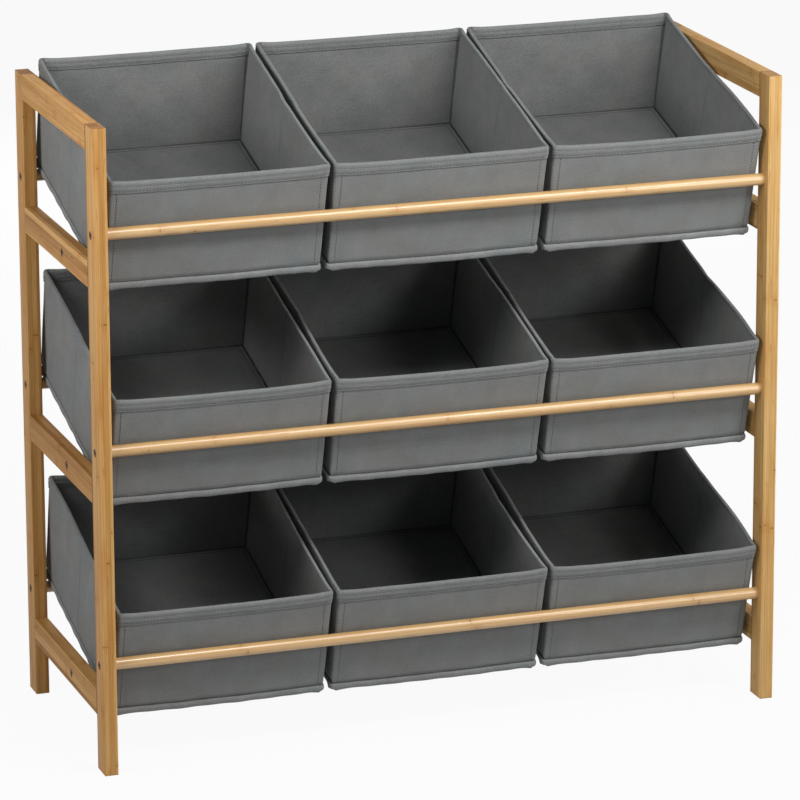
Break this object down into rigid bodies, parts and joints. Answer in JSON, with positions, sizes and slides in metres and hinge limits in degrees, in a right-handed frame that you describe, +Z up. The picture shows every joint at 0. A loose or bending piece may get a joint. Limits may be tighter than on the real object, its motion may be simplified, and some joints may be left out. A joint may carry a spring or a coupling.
{
  "type": "storage_shelf",
  "caption": "Bamboo storage rack with tipped fabric baskets in three tiers, each basket resting on two round rods and leaning on a third in front",
  "frame": {"origin": "centre of the footprint, at floor level", "axes": "+X along the width, to the right seen from the front; +Y to the back; +Z up"},
  "size_m": [0.71, 0.2922, 0.6662],
  "materials": {
    "bamboo": "laminated bamboo bars and rods, sanded and clear varnished",
    "steel": "furniture screws with hexagon sockets, sunk in the side frames",
    "cloth": "grey non-woven cloth with folded and stitched hems",
    "card": "bare grey-brown card, sewn inside the walls",
    "board": "pressed board with a stitched grey cloth cover"
  },
  "bodies": {
    "rack": {"post_front_left": "bamboo", "post_back_left": "bamboo", "post_front_right": "bamboo", "post_back_right": "bamboo", "top_rail_left": "bamboo", "top_rail_right": "bamboo", "side_rail_top_left": "bamboo", "side_rail_middle_left": "bamboo", "side_rail_bottom_left": "bamboo", "side_rail_top_right": "bamboo", "side_rail_middle_right": "bamboo", "side_rail_bottom_right": "bamboo", "rod_front_top": "bamboo", "rod_under_top": "bamboo", "rod_rear_top": "bamboo", "rod_front_middle": "bamboo", "rod_under_middle": "bamboo", "rod_rear_middle": "bamboo", "rod_front_bottom": "bamboo", "rod_under_bottom": "bamboo", "rod_rear_bottom": "bamboo", "screws_left": "steel", "screws_right": "steel", "dowels_left": "bamboo", "dowels_right": "bamboo"},
    "bin_top_left": {"basket_top_left": "cloth", "cards_top_left": "card", "base_board_top_left": "board"},
    "bin_top_centre": {"basket_top_centre": "cloth", "cards_top_centre": "card", "base_board_top_centre": "board"},
    "bin_top_right": {"basket_top_right": "cloth", "cards_top_right": "card", "base_board_top_right": "board"},
    "bin_middle_left": {"basket_middle_left": "cloth", "cards_middle_left": "card", "base_board_middle_left": "board"},
    "bin_middle_centre": {"basket_middle_centre": "cloth", "cards_middle_centre": "card", "base_board_middle_centre": "board"},
    "bin_middle_right": {"basket_middle_right": "cloth", "cards_middle_right": "card", "base_board_middle_right": "board"},
    "bin_bottom_left": {"basket_bottom_left": "cloth", "cards_bottom_left": "card", "base_board_bottom_left": "board"},
    "bin_bottom_centre": {"basket_bottom_centre": "cloth", "cards_bottom_centre": "card", "base_board_bottom_centre": "board"},
    "bin_bottom_right": {"basket_bottom_right": "cloth", "cards_bottom_right": "card", "base_board_bottom_right": "board"}
  },
  "joints": [
    {"name": "lift_top_left", "type": "slide", "parent": "rack", "child": "bin_top_left", "axis": [0, -0.2615, 0.9652], "range_m": [0, 0.18]},
    {"name": "lift_top_centre", "type": "slide", "parent": "rack", "child": "bin_top_centre", "axis": [0, -0.2615, 0.9652], "range_m": [0, 0.18]},
    {"name": "lift_top_right", "type": "slide", "parent": "rack", "child": "bin_top_right", "axis": [0, -0.2615, 0.9652], "range_m": [0, 0.18]},
    {"name": "lift_middle_left", "type": "slide", "parent": "rack", "child": "bin_middle_left", "axis": [0, -0.2615, 0.9652], "range_m": [0, 0.075]},
    {"name": "lift_middle_centre", "type": "slide", "parent": "rack", "child": "bin_middle_centre", "axis": [0, -0.2615, 0.9652], "range_m": [0, 0.075]},
    {"name": "lift_middle_right", "type": "slide", "parent": "rack", "child": "bin_middle_right", "axis": [0, -0.2615, 0.9652], "range_m": [0, 0.075]},
    {"name": "lift_bottom_left", "type": "slide", "parent": "rack", "child": "bin_bottom_left", "axis": [0, -0.2615, 0.9652], "range_m": [0, 0.075]},
    {"name": "lift_bottom_centre", "type": "slide", "parent": "rack", "child": "bin_bottom_centre", "axis": [0, -0.2615, 0.9652], "range_m": [0, 0.075]},
    {"name": "lift_bottom_right", "type": "slide", "parent": "rack", "child": "bin_bottom_right", "axis": [0, -0.2615, 0.9652], "range_m": [0, 0.075]}
  ]
}
